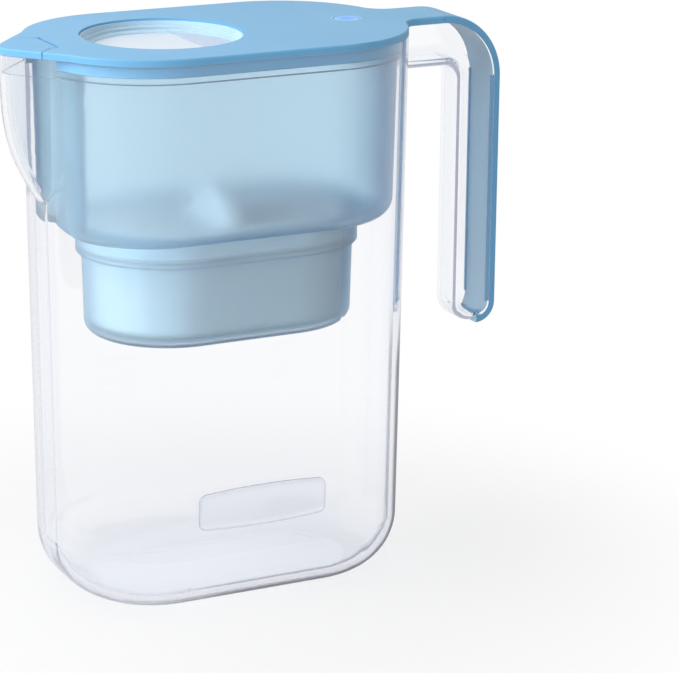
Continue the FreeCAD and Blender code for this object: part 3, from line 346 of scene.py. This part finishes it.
# %% Clear plastic
CLEAR_LAMP_TINT, CLEAR_IOR = (0.985, 0.987, 0.99, 1), 1.5
# The navy is painted shade for turning walls.
SHADE_NAVY, SPENT_LAVENDER, SPENT_DEPTH = (0.045, 0.05, 0.11, 1), (0.4, 0.42, 0.52, 1), 2.5
RIPPLE_SCALE, RIPPLE_STRETCH, RIPPLE_HEIGHT = 26, (1, 1, 0.4), 0.000002


def let_lamps_through(finish, shader, color):
    open_way = finish.node("ShaderNodeBsdfTransparent", {}, {"Color": color})
    return finish.mix(finish.path("Is Shadow Ray"), shader, open_way)


def clear_plastic(name, color, shade_lavender, rough=0.0, turns=(0.35, 0.9), shade=None):
    finish = Finish(name)
    waves = finish.noise(RIPPLE_SCALE, 1, RIPPLE_STRETCH)
    slant = finish.slant()
    veil = veil_share(finish, slant, waves, turns)
    if shade:
        veil = veil.most(shade(finish))
    clear = finish.surface(
        Base_Color=finish.tint(veil, color, shade_lavender), Roughness=rough,
        IOR=CLEAR_IOR, Transmission_Weight=1.0, Normal=finish.bump(waves, RIPPLE_HEIGHT))
    # A navy surface of painted shade, mixed in where the walls turn.
    edge = finish.surface(Base_Color=SHADE_NAVY, Roughness=0.4)
    shader = finish.mix(edge_shade_share(finish, slant), clear, edge)
    spent = finish.node("ShaderNodeEmission", {}, {"Color": SPENT_LAVENDER, "Strength": 1.0})
    shader = finish.mix(1 - (finish.path("Glossy Depth") < SPENT_DEPTH), shader, spent)
    return finish.done(let_lamps_through(finish, shader, CLEAR_LAMP_TINT))


# The second colour is the lavender painted shade on turning walls.
dress(clear_plastic("jug_clear", (0.975, 0.978, 0.988, 1), (0.78, 0.83, 0.92, 1)), "jug")

# %% [markdown]
# ## Sky blue plastic
# The lid, its pouring flap and the cover under it are one satin blue. Their mould is finely sparked, which
# gives a soft sheen instead of a mirror. A rougher shader alone would look like chalk, so a very fine grain
# goes into the bump, and a slow cloud into the colour and the roughness, as in real moulded plastic.

# %% Sky blue plastic
SATIN_CLOUD, SATIN_SPARK = 14, 5200
SATIN_GRAIN, SATIN_GLOSS, SATIN_SPREAD = 0.000012, 0.28, 0.08
SATIN_MOTTLE, SATIN_FADING = (0.3, 0.7), 0.15


def satin_plastic(name, color, deep, rough=0.42, where=None):
    finish = Finish(name)
    cloud = finish.noise(SATIN_CLOUD, 3)
    if where:
        share = where(finish) * ((1 - SATIN_FADING) + cloud * SATIN_FADING)
    else:
        share = finish.fade(cloud, *SATIN_MOTTLE)
    shader = finish.surface(
        Base_Color=finish.tint(share, color, deep),
        Roughness=cloud * SATIN_SPREAD + (rough - SATIN_SPREAD / 2), Specular_IOR_Level=SATIN_GLOSS,
        Normal=finish.bump(finish.noise(SATIN_SPARK, 2), SATIN_GRAIN))
    return finish.done(shader)


sky_blue = satin_plastic("sky_blue", (0.175, 0.46, 0.735, 1), (0.165, 0.445, 0.72, 1))
dress(sky_blue, "lid", "spout_flap", "module_cover")

# %% [markdown]
# ## Handle cover
# A blue plate closes the back of the hollow handle. Seen through the clear handle, its inner face is much
# paler than its edge, because it faces the light from the left, and that paler colour is painted light. Two
# materials on two sets of faces could do that, but a imported mesh isn't changed, so one finish asks which way
# the surface looks.

# %% Handle cover
LIT_INNER_FACE = (-0.6, -0.2)


def lit_inner_face(finish):
    """One on the faces that look back at the jug and the lamps, where light is painted."""
    return 1 - finish.fade(finish.parts(finish.normal())[0], *LIT_INNER_FACE)


# The paler second colour is painted light on the faces towards the lamps.
cover_blue = satin_plastic("cover_blue", (0.155, 0.42, 0.69, 1), (0.56, 0.82, 1.0, 1), where=lit_inner_face)
dress(cover_blue, "handle_cover")

# %% [markdown]
# ## Translucent tank
# The upper tank is tinted and milky: what stands inside shows only as a soft shape. Scattering below the
# surface would be the true way, but in a thin double wall it is slow. Here most of the light goes through a
# rough surface, which blurs it, and a little is scattered back as pale blue. Where the wall turns edge on, the
# tint deepens as in thicker tinted resin, and a deep blue edge of painted shade comes in; both are deeper on
# the side away from the lamps, which is painted shade. The fill well in the lid is the same plastic with more
# frost.

# %% Translucent blue tank
# The first range marks the side away from the lamps, where tint and edge are painted deeper as shade; the lit
# side keeps a smaller share of it.
MILK_SHADED_SIDE, MILK_TURN, MILK_EDGE = (-0.08, 0.0), (0.25, 0.75), (0.42, 0.85)
MILK_LAMP_TINT, MILK_IOR = (0.85, 0.92, 0.965, 1), 1.3
MILK_CLOUD, MILK_MOTTLE, MILK_LIT_SHARE, MILK_EDGE_SHARE = 9, 0.05, 0.2, 0.75


def milky_plastic(name, color, deep, share, rough):
    finish = Finish(name)
    cloud = finish.noise(MILK_CLOUD, 3)
    slant = finish.slant()
    # Painted shade: the tint and the deep blue edge come in more on the side away from the lamps.
    far = finish.fade(finish.parts(finish.place())[0], *MILK_SHADED_SIDE) * (1 - MILK_LIT_SHARE) + MILK_LIT_SHARE
    depth = (finish.fade(slant, *MILK_TURN) * far).most(cloud * MILK_MOTTLE)
    body = finish.surface(
        Base_Color=finish.tint(depth, color, deep), Roughness=rough,
        IOR=MILK_IOR, Transmission_Weight=share)
    # A deep blue surface of painted shade for the turning walls.
    edge = finish.surface(Base_Color=deep, Roughness=0.35, Specular_IOR_Level=0.3)
    turning = finish.fade(slant, *MILK_EDGE) * far * before_matt(finish) * MILK_EDGE_SHARE
    return finish.done(let_lamps_through(finish, finish.mix(turning, body, edge), MILK_LAMP_TINT))


tank_blue = milky_plastic("tank_blue", (0.77, 0.93, 1.0, 1), (0.21, 0.48, 0.75, 1), 0.945, 0.33)
dress(tank_blue, "reservoir")
well_frost = milky_plastic("well_frost", (0.68, 0.86, 0.965, 1), (0.62, 0.83, 0.95, 1), 0.4, 0.25)
dress(well_frost, "fill_ring")

# %% [markdown]
# ## White plastic
# The cartridge is a plain white moulding, and so is the flap in the fill well. They need no new shader, only
# the satin one in white. The flap has a crease, and its short side is painted a little darker, as shade. The
# finish takes that from the place on the piece, because the crease runs straight across it.

# %% White plastic
FLAP_CREASE = (-0.0105, -0.0098)


def shaded_short_side(finish):
    """One on the flap's short side of the crease, where shade is painted."""
    return finish.fade(finish.parts(finish.place())[0], *FLAP_CREASE)


satin_white = satin_plastic("satin_white", (0.83, 0.83, 0.845, 1), (0.80, 0.80, 0.82, 1), rough=0.4)
dress(satin_white, "cartridge_cup", "cartridge_cap")
# The darker second colour is painted shade on the flap's short side.
flap_white = satin_plastic("flap_white", (0.76, 0.83, 0.90, 1), (0.58, 0.66, 0.80, 1), where=shaded_short_side)
dress(flap_white, "fill_flap")

# %% [markdown]
# ## Mesh screens
# Two fine meshes hold the filling in the cartridge. Every thread could be modelled, but there are thousands.
# Two sets of waves at right angles, of which the higher one counts, give the same weave in colour and bump.

# %% Mesh screens
MESH_RIBS, MESH_HEIGHT = 420.0, 0.0002
MESH_GAP, MESH_THREAD = (0.42, 0.42, 0.4, 1), (0.86, 0.86, 0.83, 1)


def woven_mesh(name):
    finish = Finish(name)
    sockets = {"Vector": finish.place(), "Scale": MESH_RIBS}
    across, down = (finish.node("ShaderNodeTexWave", {"bands_direction": axis}, sockets, "Fac")
                    for axis in "XY")
    weave = across.most(down)
    shader = finish.surface(
        Base_Color=finish.tint(weave, MESH_GAP, MESH_THREAD),
        Roughness=0.75 - weave * 0.15, Normal=finish.bump(weave, MESH_HEIGHT))
    return finish.done(shader)


dress(woven_mesh("screen_mesh"), "inlet_screen", "outlet_screen")

# %% [markdown]
# ## Filter granules
# The filling is a mix of black carbon and amber resin beads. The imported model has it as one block. Voronoi
# cells round its surface into grains, and a noise as fine as the grains picks one colour or the other.

# %% Filter granules
GRAIN_CELLS, GRAIN_KINDS, GRAIN_HEIGHT = 900.0, 700, 0.0006
CARBON_BLACK, RESIN_AMBER = (0.02, 0.02, 0.022, 1), (0.55, 0.42, 0.24, 1)


def granules(name):
    finish = Finish(name)
    sockets = {"Vector": finish.place(), "Scale": GRAIN_CELLS}
    cells = finish.node("ShaderNodeTexVoronoi", {}, sockets, "Distance")
    amber = finish.fade(finish.noise(GRAIN_KINDS, 0), 0.45, 0.55)
    shader = finish.surface(
        Base_Color=finish.tint(amber, CARBON_BLACK, RESIN_AMBER),
        Roughness=0.85 - amber * 0.3, Normal=finish.bump(1 - cells, GRAIN_HEIGHT))
    return finish.done(shader)


dress(granules("granule_mix"), "filter_media")

# %% [markdown]
# ## Rubber
# The seals are soft, grey and matt, with a faint pale bloom as on real silicone. One flat colour would look
# like painted metal, so the bloom goes into the colour and the roughness, and a fine grain into the bump.

# %% Rubber
BLOOM_SCALE, SKIN_SCALE, SKIN_HEIGHT = 60, 2600, 0.00002


def soft_rubber(name, color, pale):
    finish = Finish(name)
    bloom = finish.fade(finish.noise(BLOOM_SCALE, 4), 0.4, 0.7)
    shader = finish.surface(
        Base_Color=finish.tint(bloom, color, pale), Roughness=0.62 + bloom * 0.2,
        Normal=finish.bump(finish.noise(SKIN_SCALE, 2), SKIN_HEIGHT))
    return finish.done(shader)


seal_grey = soft_rubber("seal_grey", (0.62, 0.64, 0.66, 1), (0.7, 0.71, 0.72, 1))
dress(seal_grey, "cartridge_seal", "button_seal", "module_gasket")

# %% [markdown]
# ## Metal
# Pins, screws and the flap's counterweight are drawn steel, with fine marks along their length. The cell and
# its clip are nickel plated and smoother. Both come from one shader: a noise that is stretched along one axis
# makes the marks, and its stretch and roughness are all that differs.

# %% Steel and nickel
MARK_SCALE, MARK_HEIGHT = 900, 0.000004


def drawn_metal(name, color, stretch, rough):
    finish = Finish(name)
    marks = finish.noise(MARK_SCALE, 2, stretch)
    shader = finish.surface(
        Base_Color=color, Metallic=1.0, Roughness=marks * 0.16 + rough, Normal=finish.bump(marks, MARK_HEIGHT))
    return finish.done(shader)


drawn_steel = drawn_metal("drawn_steel", (0.60, 0.61, 0.63, 1), (1, 0.05, 1), 0.2)
dress(drawn_steel, "flap_pin", "flap_counterweight", "spout_flap_pin", "module_screws")
nickel_plate = drawn_metal("nickel_plate", (0.70, 0.69, 0.66, 1), (1, 1, 0.2), 0.12)
dress(nickel_plate, "coin_cell", "battery_clip")

# %% [markdown]
# ## Filter indicator
# The round button in the lid is a lit lens with a pale ring round it. A lamp under a clear lens would be the
# true way, but it would be noise at this size. So the lens glows by itself, deepest blue in its middle, and
# pales towards the rim by the distance from its axis.

# %% Lit button and its ring
LENS_RIM, LENS_GLOW = (0.001, 0.0062), 0.3
LENS_BLUE, LENS_PALE = (0.06, 0.26, 0.7, 1), (0.16, 0.42, 0.8, 1)
GLOW_BLUE, GLOW_PALE = (0.10, 0.34, 0.95, 1), (0.22, 0.46, 0.85, 1)
button_x = sum(corner.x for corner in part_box("indicator_button")) / 2


def lit_lens(name):
    finish = Finish(name)
    flat = finish.node("ShaderNodeVectorMath", {"operation": "MULTIPLY"}, {0: finish.place(), 1: (1, 1, 0)})
    sockets = {0: flat, 1: (button_x, 0, 0)}
    apart = finish.node("ShaderNodeVectorMath", {"operation": "DISTANCE"}, sockets, "Value")
    rim = finish.fade(apart, *LENS_RIM)
    shader = finish.surface(
        Base_Color=finish.tint(rim, LENS_BLUE, LENS_PALE), Roughness=0.4,
        Emission_Color=finish.tint(rim, GLOW_BLUE, GLOW_PALE), Emission_Strength=LENS_GLOW)
    return finish.done(shader)


dress(lit_lens("indicator_lens"), "indicator_button")
dress(satin_plastic("pale_ring", (0.30, 0.56, 0.80, 1), (0.28, 0.54, 0.78, 1)), "light_ring")

# %% [markdown]
# ## Electronics
# Under the button lie a small green board, a switch and a lamp. They show only when the lid is taken apart,
# so a brick pattern is enough for the board's tracks, and the satin shader does for the rest.

# %% Electronics
TRACK_SCALE, TRACK_WIDTH, TRACK_HEIGHT = 260.0, 0.06, 0.00003
BLACK, BOARD_GREEN, TRACK_GREEN = (0, 0, 0, 1), (0.012, 0.11, 0.045, 1), (0.03, 0.2, 0.08, 1)


def board_mask(name):
    finish = Finish(name)
    tracks = finish.node("ShaderNodeTexBrick", {"offset": 0.5}, {
        "Vector": finish.place(), "Scale": TRACK_SCALE, "Mortar Size": TRACK_WIDTH,
        "Color1": BLACK, "Color2": BLACK, "Mortar": WHITE}, "Fac")
    shader = finish.surface(
        Base_Color=finish.tint(tracks, BOARD_GREEN, TRACK_GREEN), Roughness=0.35,
        Normal=finish.bump(tracks, TRACK_HEIGHT))
    return finish.done(shader)


dress(board_mask("board_green"), "circuit_board")
dress(satin_plastic("switch_black", (0.02, 0.02, 0.022, 1), (0.03, 0.03, 0.033, 1)), "tact_switch")
dress(satin_plastic("led_white", (0.85, 0.85, 0.8, 1), (0.8, 0.8, 0.74, 1), rough=0.3), "indicator_led")

# %% [markdown]
# ## Plate on the jug
# Low on its front, the jug has a plain raised plate with bowed long sides. A box with a bevel would be quick,
# but its sides would be straight and it would stand off the sloping wall. So the plate is a stack of rounded
# outlines, each drawn in and lifted a little from the one before, which rounds its edge as in a real mould.
# Two rays find the wall that it lies on.

# %% Where the wall stands
PLATE_X, PLATE_Z = (-0.035, 0.029), (0.043, 0.060)
jug_skin = BVHTree.FromObject(nodes["jug"], bpy.context.evaluated_depsgraph_get())


def wall_front(height):
    """How far forward the jug's front wall stands at a height."""
    return jug_skin.ray_cast(Vector((0, -1, height)), Vector((0, 1, 0)))[0].y


wall_low, wall_high = (wall_front(height) for height in PLATE_Z)
print("wall at", round(wall_low, 4), "and", round(wall_high, 4))

# %% The plate's outline
PLATE_CORNER, PLATE_BOW = 0.0036, 0.0014
CORNER_STEPS, SIDE_STEPS = 8, 16
QUARTERS = ((1, 1), (-1, 1), (-1, -1), (1, -1))


def plate_outline(inset):
    """A rounded outline with bowed long sides, as (x, z), drawn in by an inset."""
    middle = [(low + high) / 2 for low, high in (PLATE_X, PLATE_Z)]
    half = [(high - low) / 2 - inset for low, high in (PLATE_X, PLATE_Z)]
    radius = PLATE_CORNER - inset
    points = []
    for quarter, sides in enumerate(QUARTERS):
        centre = [side * (size - radius) for side, size in zip(sides, half)]
        for step in range(CORNER_STEPS + 1):
            angle = math.pi / 2 * (quarter + step / CORNER_STEPS)
            points.append([centre[0] + radius * math.cos(angle), centre[1] + radius * math.sin(angle)])
        if quarter in (0, 2):
            run = 2 * centre[0]
            points += [[centre[0] - run * step / SIDE_STEPS, centre[1] + math.copysign(radius, centre[1])]
                       for step in range(1, SIDE_STEPS)]
    for point in points:
        point[1] += math.copysign(PLATE_BOW, point[1]) * (1 - (point[0] / half[0]) ** 2)
    return [(x + middle[0], z + middle[1]) for x, z in points]


print("outline of", len(plate_outline(0)), "points")

# %% The plate's mesh
PLATE_AIR, PLATE_LEAN, PLATE_CREASE = 0.00003, 0.5, math.radians(40)
PLATE_RINGS = ((0, 0), (0, 0.0002), (0.0003, 0.00055), (0.0008, 0.0009), (0.0014, 0.00115), (0.0021, 0.0013),
               (0.0028, 0.00135))


def make_plate():
    shape = bmesh.new()
    rings = []
    for inset, lift in PLATE_RINGS:
        ring = []
        for x, z in plate_outline(inset):
            share = (z - PLATE_Z[0]) / (PLATE_Z[1] - PLATE_Z[0])
            wall = wall_low + (wall_high - wall_low) * share
            ring.append(shape.verts.new((x, wall - PLATE_AIR - lift, z + lift * PLATE_LEAN)))
        rings.append(ring)
    for low, high in zip(rings, rings[1:]):
        for index in range(len(low)):
            shape.faces.new((low[index - 1], low[index], high[index], high[index - 1]))
    shape.faces.new(rings[-1])
    shape.faces.new(reversed(rings[0]))
    bmesh.ops.recalc_face_normals(shape, faces=shape.faces)
    mesh = bpy.data.meshes.new("jug_plate")
    shape.to_mesh(mesh)
    shape.free()
    mesh.shade_smooth()
    mesh.set_sharp_from_angle(angle=PLATE_CREASE)
    made = bpy.data.objects.new("jug_plate", mesh)
    scene.collection.objects.link(made)
    return made


plate = make_plate()
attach(plate, "jug")
print("plate with", len(plate.data.polygons), "faces")

# %% [markdown]
# ## Finish of the plate
# The plate is the jug's own plastic. On the real one, its lower edge looks down at the floor and reads as a
# darker line. A lamp from above could draw that, but it would change the jug as well, so the clear finish gets
# one more place for its veil.

# %% Finish of the plate
LOWER_EDGE = (-0.6, -0.15)


def lower_edge(finish):
    """One where the plate's rounded edge looks down at the floor."""
    return 1 - finish.fade(finish.parts(finish.normal())[2], *LOWER_EDGE)


plate_clear = clear_plastic("plate_clear", (0.93, 0.94, 0.97, 1), (0.42, 0.43, 0.54, 1),
                            rough=0.04, turns=(0.3, 0.75), shade=lower_edge)
plate.data.materials.append(plate_clear)
